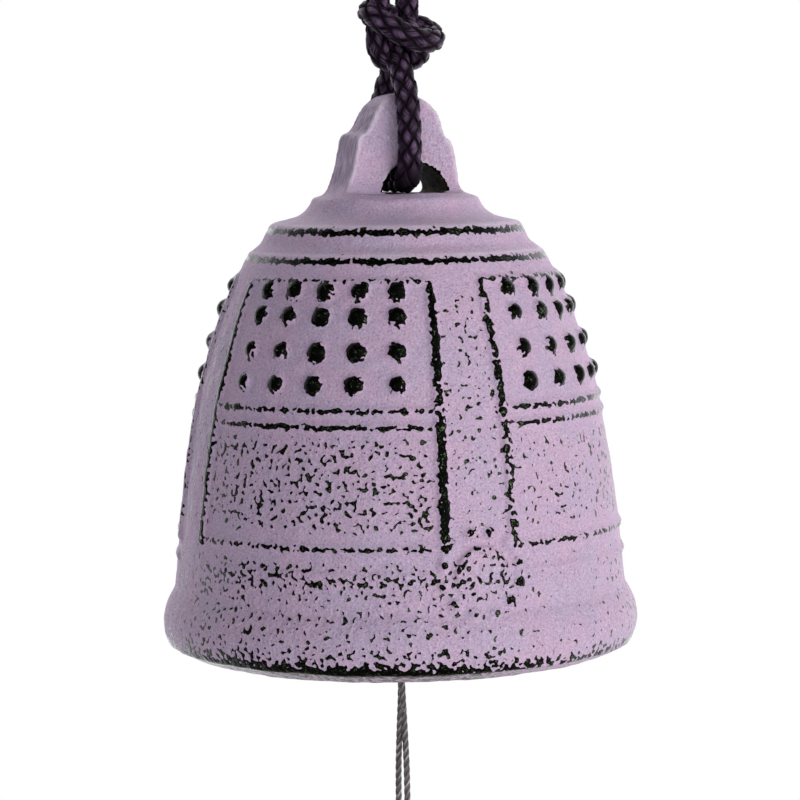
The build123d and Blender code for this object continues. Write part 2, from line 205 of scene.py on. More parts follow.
class Nodes:
    """A tree of shader nodes."""

    def __init__(self, owner):
        owner.use_nodes = True
        self.tree = owner.node_tree

    def feed(self, socket, value):
        if isinstance(value, Value):
            self.tree.links.new(value.socket, socket)
        else:
            socket.default_value = value

    def node(self, kind, settings=None, sockets=None, output=0):
        """A node of this kind: its settings are set first, then its sockets' values or links."""
        made = self.tree.nodes.new(kind)
        for name, value in (settings or {}).items():
            setattr(made, name, value)
        for name, value in (sockets or {}).items():
            self.feed(made.inputs[name], value)
        return Value(self, made.outputs[output])

    def maths(self, operation, first, second):
        return self.node("ShaderNodeMath", {"operation": operation}, {0: first, 1: second})

    def step(self, value, low, high):
        """0 below low, 1 above high, and smooth between them."""
        sockets = {"Value": value, "From Min": low, "From Max": high}
        return self.node("ShaderNodeMapRange", {"interpolation_type": "SMOOTHSTEP"}, sockets)


class Finish(Nodes):
    """A material and its nodes."""

    def __init__(self, name):
        self.material = bpy.data.materials.new(name)
        super().__init__(self.material)
        self.shader = self.tree.nodes["Principled BSDF"]

    def place(self):
        """Where a point is on its piece, in metres."""
        return self.node("ShaderNodeTexCoord", output="Object")

    def stretched(self, place, scale):
        """Coordinates drawn out or pressed together along each axis."""
        return self.node("ShaderNodeVectorMath", {"operation": "MULTIPLY"}, {0: place, 1: scale})

    def joined(self, x, y, z):
        """Coordinates from three numbers."""
        return self.node("ShaderNodeCombineXYZ", {}, {"X": x, "Y": y, "Z": z})

    def stored(self, name):
        """A number kept on the mesh's points."""
        return self.node("ShaderNodeAttribute", {"attribute_name": name}, output="Fac")

    def noise(self, place, size, detail=2.0, rough=0.5, distort=0.0):
        """Cloudy noise whose lumps are about this size."""
        sockets = {"Vector": place, "Scale": 1 / size, "Detail": detail}
        sockets |= {"Roughness": rough, "Distortion": distort}
        return self.node("ShaderNodeTexNoise", {}, sockets)

    def mix(self, share, first, second):
        """The first colour, going over to the second as the share goes from 0 to 1."""
        sockets = {0: share, 6: first, 7: second}
        return self.node("ShaderNodeMix", {"data_type": "RGBA"}, sockets, output=2)

    def bump(self, height, distance, strength=1.0):
        """A normal tilted by a height of 0 to 1 over this distance."""
        sockets = {"Height": height, "Distance": distance, "Strength": strength}
        return self.node("ShaderNodeBump", {}, sockets)

    def shade(self, **sockets):
        """Set the shader's own sockets, named with _ for a space."""
        for name, value in sockets.items():
            self.feed(self.shader.inputs[name.replace("_", " ")], value)
        return self.material


def tint(red, green, blue):
    """A colour as the shader wants it, from its 0 to 255 screen values."""
    shares = [level / 255 for level in (red, green, blue)]
    return (*(s / 12.92 if s <= 0.04045 else ((s + 0.055) / 1.055) ** 2.4 for s in shares), 1)


# Meshes
def mesh_of(name, points, faces):
    mesh = bpy.data.meshes.new(name)
    mesh.from_pydata(points.tolist(), [], faces.tolist())
    mesh.update()
    return mesh


def points_of(mesh):
    found = np.empty(3 * len(mesh.vertices), np.float32)
    mesh.vertices.foreach_get("co", found)
    return found.reshape(-1, 3).astype(float)


def normals_of(mesh):
    found = np.empty(3 * len(mesh.vertices), np.float32)
    mesh.vertex_normals.foreach_get("vector", found)
    return found.reshape(-1, 3).astype(float)


def store(mesh, name, values):
    """Keep a number on each point of a mesh, for its finish."""
    kept = mesh.attributes.new(name, "FLOAT", "POINT")
    kept.data.foreach_set("value", np.asarray(values, np.float32))


def piece(name, mesh, body, slot, material, *nodes):
    """A new piece that rides on a body and stands for these CAD nodes."""
    made = bpy.data.objects.new(name, mesh)
    bpy.context.scene.collection.objects.link(made)
    mesh.materials.clear()
    mesh.materials.append(material)
    mesh.polygons.foreach_set("use_smooth", np.ones(len(mesh.polygons), bool))
    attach(made, body)
    if nodes:
        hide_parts(*nodes)
    return made


def reshaped(mesh, kind, **settings):
    """The mesh after one modifier."""
    scratch = bpy.data.objects.new("scratch", mesh)
    bpy.context.scene.collection.objects.link(scratch)
    modifier = scratch.modifiers.new(kind, kind)
    for name, value in settings.items():
        setattr(modifier, name, value)
    graph = bpy.context.evaluated_depsgraph_get()
    made = bpy.data.meshes.new_from_object(scratch.evaluated_get(graph))
    bpy.data.objects.remove(scratch)
    return made


def smoothed(points, edges, rounds, share=0.5):
    """Points moved towards the mean of their neighbours."""
    count = np.bincount(edges.ravel(), minlength=len(points))[:, None]
    for _ in range(rounds):
        total = np.zeros_like(points)
        for one, other in ((0, 1), (1, 0)):
            for axis in range(3):
                near = points[edges[:, other], axis]
                total[:, axis] += np.bincount(edges[:, one], near, len(points))
        points = points + share * (total / count - points)
    return points


def edges_of(mesh):
    found = np.empty(2 * len(mesh.edges), np.int32)
    mesh.edges.foreach_get("vertices", found)
    return found.reshape(-1, 2)


def ramp(values, low, high):
    """0 below low, 1 above high, and smooth between them."""
    share = np.clip((values - low) / (high - low), 0, 1)
    return share * share * (3 - 2 * share)


# Camera at the photograph's viewing angle
RIGHT = np.array([cos(CAMERA_AZIMUTH), -sin(CAMERA_AZIMUTH), 0])
NEAR = np.array([-sin(CAMERA_AZIMUTH), -cos(CAMERA_AZIMUTH), 0])
UP = np.array([0.0, 0.0, 1.0])


def place_camera():
    camera = bpy.data.objects.new("camera", bpy.data.cameras.new("camera"))
    bpy.context.scene.collection.objects.link(camera)
    camera.data.lens = LENS
    camera.data.sensor_width = SENSOR
    camera.data.clip_start = 10 * MM
    place = NEAR * CAMERA_DISTANCE + RIGHT * CAMERA_ASIDE + UP * (RIM_Z + CAMERA_RISE)
    turn = Matrix.Rotation(-CAMERA_AZIMUTH, 4, "Z") @ Matrix.Rotation(pi / 2 - CAMERA_PITCH, 4, "X")
    camera.matrix_world = Matrix.Translation(place) @ turn @ Matrix.Rotation(CAMERA_ROLL, 4, "Z")
    bpy.context.scene.camera = camera


place_camera()


# Cord routes and strands
def route(points, smoothness=24):
    """Points along a smooth cord route with these control points."""
    curve = bpy.data.curves.new("route", "CURVE")
    curve.dimensions = "3D"
    curve.resolution_u = smoothness
    spline = curve.splines.new("NURBS")
    spline.points.add(len(points) - 1)
    for control, point in zip(spline.points, points):
        control.co = (*point, 1)
    spline.order_u = 3
    spline.use_endpoint_u = True
    bare = bpy.data.objects.new("route", curve)
    mesh = bpy.data.meshes.new_from_object(bare)
    line = points_of(mesh)
    bpy.data.meshes.remove(mesh)
    bpy.data.curves.remove(curve)
    return line


def run_of(line):
    """How far each point of a line is from its start."""
    return np.concatenate([[0], np.cumsum(np.linalg.norm(np.diff(line, axis=0), axis=1))])


def unit(vectors):
    return vectors / np.linalg.norm(vectors, axis=-1, keepdims=True)


def sides_of(line):
    """Two directions across a line at each of its points, without twist."""
    ahead = unit(np.gradient(line, axis=0))
    side = np.cross(ahead[0], (0.0, 1.0, 0.0) if abs(ahead[0][1]) < 0.8 else (1.0, 0.0, 0.0))
    across = np.empty_like(line)
    for index, direction in enumerate(ahead):
        side = side - direction * side.dot(direction)
        side /= np.linalg.norm(side)
        across[index] = side
    return across, np.cross(ahead, across)


class Bundle:
    """Strands that are gathered into one mesh."""

    def __init__(self):
        self.points = []
        self.faces = []
        self.run = []
        self.lap = []
        self.tone = []
        self.rise = []
        self.count = 0

    def lay(self, line, angle, out, half_width, half_depth, tip=1.0, crossing=None):
        """Add a strand by its angle, its distance out, its section, its fullness and its crossings."""
        full = np.broadcast_to(tip, len(line))
        across, over = sides_of(line)
        outward = across * np.cos(angle)[:, None] + over * np.sin(angle)[:, None]
        middle = line + outward * (out * full)[:, None]
        heading = unit(np.gradient(middle, axis=0))
        sideways = unit(np.cross(heading, outward))
        outward = np.cross(sideways, heading)
        turn = tau * np.arange(STRAND_SIDES) / STRAND_SIDES
        aside = half_width * np.cos(turn)
        height = np.tile(half_depth * np.sin(turn), (len(line), 1))
        if crossing:
            swing, phase, skew = crossing
            height = height + swing * np.cos(np.add.outer(phase, skew * aside))
        wide = sideways[:, None] * np.outer(full, aside)[:, :, None]
        deep = outward[:, None] * (full[:, None] * height)[:, :, None]
        first = sum(len(laid) for laid in self.points)
        rows = first + STRAND_SIDES * np.arange(len(line) - 1)[:, None]
        here = rows + np.arange(STRAND_SIDES)
        beside = rows + (np.arange(STRAND_SIDES) + 1) % STRAND_SIDES
        corners = [here, beside, beside + STRAND_SIDES, here + STRAND_SIDES]
        self.points.append((middle[:, None] + wide + deep).reshape(-1, 3))
        self.rise.append((out[:, None] + height).ravel())
        self.faces.append(np.stack(corners, -1).reshape(-1, 4))
        self.run.append(np.repeat(run_of(middle), STRAND_SIDES))
        self.lap.append(np.tile(turn * (half_width + half_depth) / 2, len(line)))
        self.tone.append(np.full(len(line) * STRAND_SIDES, self.count * 0.618 % 1))
        self.count += 1

    def mesh(self, name):
        made = mesh_of(name, np.concatenate(self.points), np.concatenate(self.faces))
        store(made, "run", np.concatenate(self.run))
        store(made, "lap", np.concatenate(self.lap))
        store(made, "tone", np.concatenate(self.tone))
        rise = np.concatenate(self.rise)
        store(made, "rise", rise / rise.max())
        return made


def braid(bundle, line, cut=False, spread=1.0):
    """Lay a round braid whose strands go over one and under one; spread is how wide it lies."""
    run = run_of(line)
    turn = tau * run / BRAID_PITCH
    lean = atan(tau * STRAND_MIDDLE / BRAID_PITCH)
    skew = BRAID_COUNT * cos(2 * lean) / (2 * cos(lean) * STRAND_MIDDLE)
    left = np.clip((run[-1] - run) / TIP_LENGTH, 0, 1)
    tip = np.sqrt(1 - (1 - left) ** 2) if cut else spread
    out = np.full(len(line), STRAND_MIDDLE)
    section = (STRAND_HALF_WIDTH, STRAND_HALF_DEPTH)
    for number in range(BRAID_COUNT):
        start = tau * number / BRAID_COUNT
        for way in (1, -1):
            # A strand rises along the edges of those that it crosses
            crossing = (way * STRAND_SWING, BRAID_COUNT * turn, way * skew)
            bundle.lay(line, start + way * turn, out, *section, tip, crossing)
    still = np.zeros(len(line))
    bundle.lay(line, still, still, CORE_RADIUS, CORE_RADIUS, tip)


def twine(bundle, line, diameter):
    """Lay a twisted string of a few plies."""
    turn = tau * run_of(line) / PLY_PITCH
    quarter = diameter / 4
    out = np.full(len(line), quarter * PLY_OUT_SHARE)
    section = (quarter * PLY_WIDTH_SHARE, quarter * PLY_DEPTH_SHARE)
    for ply in range(PLY_COUNT):
        bundle.lay(line, turn + tau * ply / PLY_COUNT, out, *section)


THREAD_SHEEN = tint(225, 180, 232)


def fibre_finish(name, dark, pale_highlight, gloss):
    """Twisted or braided fibre: threads along the strands, painted shade and some dirt between them,
    and painted shade inside the lug's hole.
    """
    finish = Finish(name)
    tone = finish.stored("tone")
    thread = finish.joined(finish.stored("run") * 0.1, finish.stored("lap"), tone * 0.05)
    threads = finish.noise(thread, 0.14 * MM, 1.5)
    slubs = finish.noise(finish.place(), 1.6 * MM, 2.0)
    # Painted shade, with some dirt, between the strands, and painted shade where the cord goes into the
    # lug's hole
    painted_crest_light = finish.step(finish.stored("rise"), 0.84, 1.0) * (1 - 0.9 * finish.stored("painted_hole_shade"))
    share = finish.step(threads * 0.8 + tone * 0.15 + slubs * 0.3, 0.45, 0.85) * painted_crest_light
    return finish.shade(
        Base_Color=finish.mix(share, dark, pale_highlight),
        Roughness=0.75 - 0.3 * painted_crest_light,
        Specular_IOR_Level=gloss,
        Specular_Tint=THREAD_SHEEN,
        Normal=finish.bump(threads, 0.1 * MM, 0.8),
    )


cord_finish = fibre_finish("aubergine_braid", tint(8, 5, 9), tint(98, 76, 104), 0.25)
string_finish = fibre_finish("grey_brown_twine", tint(86, 83, 82), tint(190, 184, 180), 0.3)


# Hanging cord: the stretch through the lug, from the knot down its front and up its back
LUG_ROUTE = [
    (0, 0.9, -47.0),
    (0, -2.2, -49.3),
    (0, -5.95, -55.58),
    (0, -5.95, -65.6),
    (0.7, 0, -65.4),
    (0, 5.95, -65.6),
    (0, 5.95, -55.58),
    (0.6, 0.6, -49.3),
    (0, -0.9, -47.0),
]
LUG_SPREAD = 0.08
LUG_SPREAD_DEPTHS = (62 * MM, 65 * MM)
# Depths over which the hanging cord gets painted shade as it goes into the lug's hole
LUG_HOLE_SHADE_DEPTHS = (61.5 * MM, 64.5 * MM)
lug_line = route(np.array(LUG_ROUTE) * MM, 40)
lug_bundle = Bundle()
braid(lug_bundle, lug_line, spread=1 + LUG_SPREAD * ramp(-lug_line[:, 2], *LUG_SPREAD_DEPTHS))
lug_mesh = lug_bundle.mesh("lug_cord_braid")
store(lug_mesh, "painted_hole_shade", ramp(-points_of(lug_mesh)[:, 2], *LUG_HOLE_SHADE_DEPTHS))
lug_cord = piece("lug_cord_braid", lug_mesh, "lug_cord", "hanging_cord", cord_finish, "lug_cord")

# Hanging cord: the loop's two strands, seen from the front
SLING_ROUTE = [
    (1.95, -45.5),
    (1.95, -43.04),
    (2.64, -32.48),
    (4.56, -20.3),
    (4.7, -7.31),
    (2.28, 4.47),
    (1.2, 8.6),
]
for side, node in ((-1, "sling_left"), (1, "sling_right")):
    sling_line = route(np.array([(side * x, 0, z) for x, z in SLING_ROUTE]) * MM, 60)
    sling_bundle = Bundle()
    braid(sling_bundle, sling_line)
    sling_mesh = sling_bundle.mesh(node + "_braid")
    sling = piece(sling_mesh.name, sling_mesh, "sling", "hanging_cord", cord_finish, node)

# Main knot, in millimetres to the right, up and near as the photograph sees it
UPPER_WRAP = [
    (1.0, 1.0, -1.0),
    (3.8, 1.6, -2.6),
    (5.8, -0.2, -0.6),
    (4.9, -0.9, 3.0),
    (2.0, -0.2, 4.6),
    (-1.6, 2.0, 4.0),
    (-3.6, 3.4, 0.8),
    (-2.2, 3.6, -2.8),
    (0.4, 2.4, -1.6),
]
LOWER_WRAP = [
    (-0.4, 3.0, 0.5),
    (-1.9, 2.4, 1.6),
    (-2.3, -1.0, 1.6),
    (-1.2, -3.4, 0.2),
    (0.8, -3.0, -2.2),
    (2.9, -3.1, -0.8),
    (3.6, -2.1, 1.2),
    (2.8, 0.4, 1.8),
    (1.0, 1.6, 0.4),
]


def wrap(name, middle, places, body, *nodes):
    """Braided wraps of a knot, along places seen from the camera."""
    bundle = Bundle()
    ways = np.stack([RIGHT, UP, NEAR])
    braid(bundle, route(middle + np.array(places) @ ways * MM, 30))
    return piece(name, bundle.mesh(name), body, "hanging_cord", cord_finish, *nodes)


wrap("main_knot_upper_wrap", MAIN_KNOT, UPPER_WRAP, "main_knot", "main_knot")
wrap("main_knot_lower_wrap", MAIN_KNOT, LOWER_WRAP, "lug_cord")

# End knot above the hook, with its two cut ends
END_KNOT = np.array([0, 0, 8 * MM])
END_WRAP = [
    (-0.5, -1.5, 0.5),
    (-3.4, -1.6, 1.2),
    (-3.6, 0.8, 4.0),
    (1.8, 0.6, 4.9),
    (5.0, -0.8, 1.6),
    (3.6, -1.4, -3.6),
    (-1.4, 0.4, -4.6),
    (-4.8, 1.8, -1.8),
    (-3.4, 2.6, 2.6),
    (1.2, 2.4, 3.4),
    (2.8, 1.2, 0.5),
    (0.6, 0.4, -0.8),
]
END_TAIL = [(0.4, 0, -1.0), (1.2, 0.4, 3.5), (3.4, -0.4, 8.0), (5.2, 0.3, 12.2)]
wrap("end_knot_wrap", END_KNOT, END_WRAP, "end_knot", "end_knot")
for side, name in ((-1, "end_tail_left"), (1, "end_tail_right")):
    end_bundle = Bundle()
    end_tail = np.array(END_TAIL) * (side, 1, 1)
    braid(end_bundle, route(END_KNOT + end_tail * MM, 40), cut=True)
    piece(name, end_bundle.mesh(name), "end_knot", "hanging_cord", cord_finish)

# Clapper string, its knots and its two legs below
LEG_GAP = 0.42 * MM
LEG_ASIDE = np.array([0, LEG_GAP, 0])
LEG_PARTING = 0.22 * MM
WRAP_TUCK_SHARE = 0.4
WRAP_REACH_SHARE = 1.12
KNOT_WRAPS = ((radians(28), 0.0), (radians(-35), 2.0), (radians(80), 4.0))
EYE_KNOT_RADIUS = 1.7 * MM
STOP_KNOT_RADIUS = 2.0 * MM


def legs(bundle, places):
    """Two legs of the string, on either side of its middle line at these heights."""
    for side in (-1, 1):
        twine(bundle, route([side * aside + UP * z for aside, z in places], 60), LEG_DIAMETER)


def ring(middle, radius, tilt, turn, steps=9, laps=1.15):
    """Control points of a wrap round a knot, with both ends tucked in."""
    angles = turn + laps * tau * np.arange(steps) / (steps - 1)
    ends = np.arange(steps) % (steps - 1) == 0
    reach = radius * np.where(ends, WRAP_TUCK_SHARE, WRAP_REACH_SHARE)
    flat = np.stack([reach * np.cos(angles), reach * np.sin(angles), np.zeros(steps)], -1)
    return middle + flat @ np.array(Matrix.Rotation(tilt, 3, "X")).T


def string_knot(name, middle, radius, body, node):
    """A knot in the string, as a few wraps at different tilts."""
    bundle = Bundle()
    for tilt, turn in KNOT_WRAPS:
        places = ring(middle, radius - HITCH_DIAMETER / 2, tilt, turn)
        twine(bundle, route(places, 30), HITCH_DIAMETER)
    return piece(name, bundle.mesh(name), body, "clapper_cord", string_finish, node)


string_knot("eye_knot_wraps", EYE_KNOT, EYE_KNOT_RADIUS, "eye_knot", "eye_knot")
string_knot("stop_knot_wraps", STOP_KNOT, STOP_KNOT_RADIUS, "clapper", "stop_knot")

# The string's turn round the staple's eye, stood upright
hitch_low, hitch_high = (np.array(corner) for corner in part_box("string_hitch"))
hitch_middle = (hitch_low + hitch_high) / 2
hitch_radius = (hitch_high - hitch_low)[2] / 2 - HITCH_DIAMETER / 2
hitch_ring = ring(hitch_middle, hitch_radius, 0, -pi / 2, 13, 1.0)
hitch_upright = (hitch_ring - hitch_ring.mean(axis=0))[:, [2, 0, 1]] + hitch_middle
hitch_bundle = Bundle()
twine(hitch_bundle, route(hitch_upright, 30), HITCH_DIAMETER)
hitch_mesh = hitch_bundle.mesh("string_hitch_turn")
piece("string_hitch_turn", hitch_mesh, "bell", "clapper_cord", string_finish, "string_hitch")

clapper_bundle = Bundle()
legs(clapper_bundle, [(LEG_ASIDE, z) for z in np.linspace(EYE_KNOT[2], STOP_KNOT[2], 3)])
clapper_mesh = clapper_bundle.mesh("clapper_string_legs")
clapper_string = piece(
    clapper_mesh.name, clapper_mesh, "clapper", "clapper_cord", string_finish, "clapper_string"
)
route([EYE_KNOT, (EYE_KNOT + STOP_KNOT) / 2, STOP_KNOT])

tail_bundle = Bundle()
tail_places = [
    (LEG_ASIDE, STOP_KNOT[2]),
    (-LEG_GAP * NEAR, RIM_Z + 5 * MM),
    (-LEG_GAP * NEAR, RIM_Z - 4 * MM),
    (-LEG_PARTING * RIGHT, TAIL_SPLIT[2]),
]
legs(tail_bundle, tail_places)
tail_mesh = tail_bundle.mesh("tail_string_legs")
tail_string = piece(
    tail_mesh.name, tail_mesh, "tail", "clapper_cord", string_finish, "tail_string"
)

# Legs of the string down to the strip and through its hole, from where they part
LEG_ROUTE = [
    (0.2, -0.08, 0.5),
    (0.23, -0.1, -0.31),
    (0.32, -0.36, -4.0),
    (0.2, -1.15, -8.18),
    (0, -1.75, -16.54),
    (0, -1.714, -22.45),
    (0, -1.714, -24.91),
]
leg_route = LEG_ROUTE + [(-x, -y, z) for x, y, z in LEG_ROUTE[::-1]]
leg_line = route(TAIL_SPLIT + np.array(leg_route) * MM, 40)
leg_bundle = Bundle()
twine(leg_bundle, leg_line, LEG_DIAMETER)
leg_mesh = leg_bundle.mesh("strip_loop_twine")
strip_loop = piece(
    leg_mesh.name, leg_mesh, "strip_loop", "clapper_cord", string_finish, "strip_loop"
)


# Bell: skin and hollow
def height_of(points):
    return points[:, 2] - RIM_Z


def even_mesh(node, grain):
    """A CAD node's shape as a mesh of small even faces."""
    return reshaped(frame["nodes"][node].data.copy(), "REMESH", mode="VOXEL", voxel_size=grain)


def split_casting():
    """The casting's painted skin, upper and lower, with how proud each point is, and its hollow."""
    even = even_mesh("bell_casting", SKIN_GRAIN)
    points = points_of(even)
    edges = edges_of(even)
    for _ in range(2):
        points = smoothed(points, edges, 1)
        points = smoothed(points, edges, 1, -0.52)
    even.vertices.foreach_set("co", points.astype(np.float32).ravel())
    even.update()
    normals = normals_of(even)
    faces = np.empty(4 * len(even.polygons), np.int32)
    even.polygons.foreach_get("vertices", faces)
    faces = faces.reshape(-1, 4)
    radius = np.hypot(points[:, 0], points[:, 1])
    outwards = points[:, 0] * normals[:, 0] + points[:, 1] * normals[:, 1]
    outwards = outwards / np.maximum(radius, MM)
    height = height_of(points)
    inside = (outwards + 0.5 * normals[:, 2] < -0.1) & (height > 2 * MM)
    inside &= height < CROWN_HEIGHT - 2 * MM
    within = inside[faces].all(axis=1)
    lap = (height > HOLLOW_LAP[0]) & (height < HOLLOW_LAP[1]) & (outwards < -0.3)
    sunk = points - normals * (HOLLOW_SINK * ~inside)[:, None]
    hollow, _ = part_of("bell_hollow", sunk, faces[within | lap[faces].all(axis=1)])
    proud = np.einsum("ij,ij->i", points - smoothed(points, edges, PROUD_ROUNDS), normals)
    points = points + normals * swell_of(points, SKIN_SWELLS)[:, None]
    low = height[faces].mean(axis=1) < SKIN_PARTING
    upper, upper_kept = part_of("bell_upper_skin", points, faces[~within & ~low])
    lower, lower_kept = part_of("bell_lower_skin", points, faces[~within & low])
    return ((upper, proud[upper_kept]), (lower, proud[lower_kept])), hollow


def part_of(name, points, faces):
    """A mesh of some faces with only the points that they use, and which points those are."""
    kept, renumbered = np.unique(faces, return_inverse=True)
    return mesh_of(name, points[kept], renumbered.reshape(-1, 4)), kept


COOL_LILAC = tint(163, 146, 170)
WARM_LILAC = tint(171, 146, 170)
# Lilac of the painted shade in the grain's hollows and of the painted highlight on its peaks
SHADED_LILAC = tint(142, 122, 148)
GRAIN_HIGHLIGHT_LILAC = tint(206, 188, 208)
# Lilac of the painted shade on the lug's sides
SIDE_SHADE_LILAC = tint(122, 106, 130)
# Lilac of the painted highlights on the lug's edges, above the ledges and down the bell's left side
HIGHLIGHT_LILAC = tint(214, 202, 214)
RUBBED_IRON = tint(8, 9, 7)
GREEN_GLINT = tint(72, 82, 64)
HOLE_IRON = tint(14, 13, 10)
HOLE_RUST = tint(66, 58, 40)


def painted_iron():
    """Matte lilac paint, rubbed through to dark iron on the relief and on the sandy grain."""
    finish = Finish("lilac_paint_on_iron")
    place = finish.place()
    wear = finish.stored("wear")
    grain = finish.noise(place, 0.66 * MM, 0.25, 0.5, 0.2)
    sand = finish.noise(place, 0.21 * MM, 1.0, 0.6)
    fine_relief = finish.noise(place, 0.27 * MM, 1.0, 0.6)
    patch = finish.noise(place, 5 * MM, 3.0, 0.6)
    streak = finish.noise(finish.stretched(place, (1, 1, 0.1)), 0.7 * MM, 2.0)
    rubbed = wear + (grain - 0.5) + 0.1 * (sand - 0.5) + 0.06 * (patch - 0.5)
    bare = finish.step(rubbed, 0.0, 0.03)
    deep = finish.step(wear, 0.8, 0.95)
    lilac = finish.mix(finish.step(patch, 0.35, 0.65), COOL_LILAC, WARM_LILAC)
    # Painted shade in the grain's hollows and painted highlight on its peaks, from the same noise that
    # raises the bump
    lilac = finish.mix(finish.step(fine_relief, 0.25, 0.5), SHADED_LILAC, lilac)
    lilac = finish.mix(finish.step(fine_relief, 0.55, 0.78) * 0.45, lilac, GRAIN_HIGHLIGHT_LILAC)
    # Painted shade on the lug's sides, broken into vertical streaks
    lug_side_shade = finish.stored("lug_side_shade") * finish.step(streak, 0.3, 0.6)
    lilac = finish.mix(lug_side_shade, lilac, SIDE_SHADE_LILAC)
    # Painted highlights on edges, above the ledges and down the bell's left side
    lilac = finish.mix(finish.stored("pale_highlight"), lilac, HIGHLIGHT_LILAC)
    glint = finish.step(grain * 0.4 + sand * 0.6, 0.58, 0.72)
    iron = finish.mix(glint, RUBBED_IRON, GREEN_GLINT)
    wall = finish.mix(finish.step(sand, 0.4, 0.7), HOLE_IRON, HOLE_RUST)
    iron = finish.mix(deep, iron, wall)
    height = grain * finish.stored("grit") + 0.45 * fine_relief + 0.3 * sand - 0.5 * bare
    return finish.shade(
        Base_Color=finish.mix(bare, lilac, iron),
        Roughness=0.7 - 0.35 * bare + 0.5 * deep,
        Metallic=bare - deep,
        Specular_IOR_Level=0.25,
        Normal=finish.bump(height, 0.18 * MM, 0.9),
    )


def bare_iron():
    """Oxidised dark iron with a sandy cast skin."""
    finish = Finish("dark_cast_iron")
    place = finish.place()
    sand = finish.noise(place, 0.4 * MM, 3.0, 0.6)
    cloud = finish.noise(place, 6 * MM, 3.0)
    colour = finish.mix(finish.step(cloud, 0.35, 0.7), tint(30, 30, 29), tint(52, 47, 43))
    return finish.shade(
        Base_Color=finish.mix(finish.step(sand, 0.4, 0.75) * 0.5, colour, tint(70, 66, 62)),
        Roughness=0.5 + 0.25 * sand,
        Metallic=0.4,
        Normal=finish.bump(sand, 0.15 * MM, 0.7),
    )


def waviness(points, length, seed, count=24):
    """A smooth random swell over the surface, with waves of about this length."""
    picked = np.random.default_rng(seed)
    ways = unit(picked.normal(size=(count, 3))) * tau / length
    return np.cos(points @ ways.T + picked.uniform(0, tau, count)).sum(axis=1) / sqrt(count / 2)


def swell_of(points, swells):
    """How far out each point swells, from waves of a few lengths."""
    return sum(height * waviness(points, length, seed) for height, length, seed in swells)


def in_lug_hole(points):
    """How far a point is on the bare walls of the lug's hole, from 0 to 1."""
    arch_radius = (HOLE_HEIGHT**2 + HOLE_HALF_WIDTH**2) / (2 * HOLE_HEIGHT)
    above = height_of(points) - CROWN_HEIGHT
    grown = np.hypot(points[:, 0] - HOLE_OFFSET, above - HOLE_HEIGHT + arch_radius) - arch_radius
    deep = (np.abs(points[:, 1]) < LUG_HALF_THICKNESS + 0.2 * MM) & (above > -1.5 * MM)
    return deep * ramp(-grown, -0.35 * MM, 0.05 * MM)


def between(values, low, high, ease=0.5 * MM):
    """1 from low to high, and 0 outside them."""
    return ramp(values, low - ease, low + ease) * ramp(-values, -high - ease, -high + ease)


def below(values, low, high):
    """1 below low, 0 above high, and smooth between them."""
    return ramp(-values, -high, -low)


def near(heights, at, reach):
    """1 at a height, fading to 0 past this reach."""
    return np.exp(-(((heights - at) / reach) ** 2))


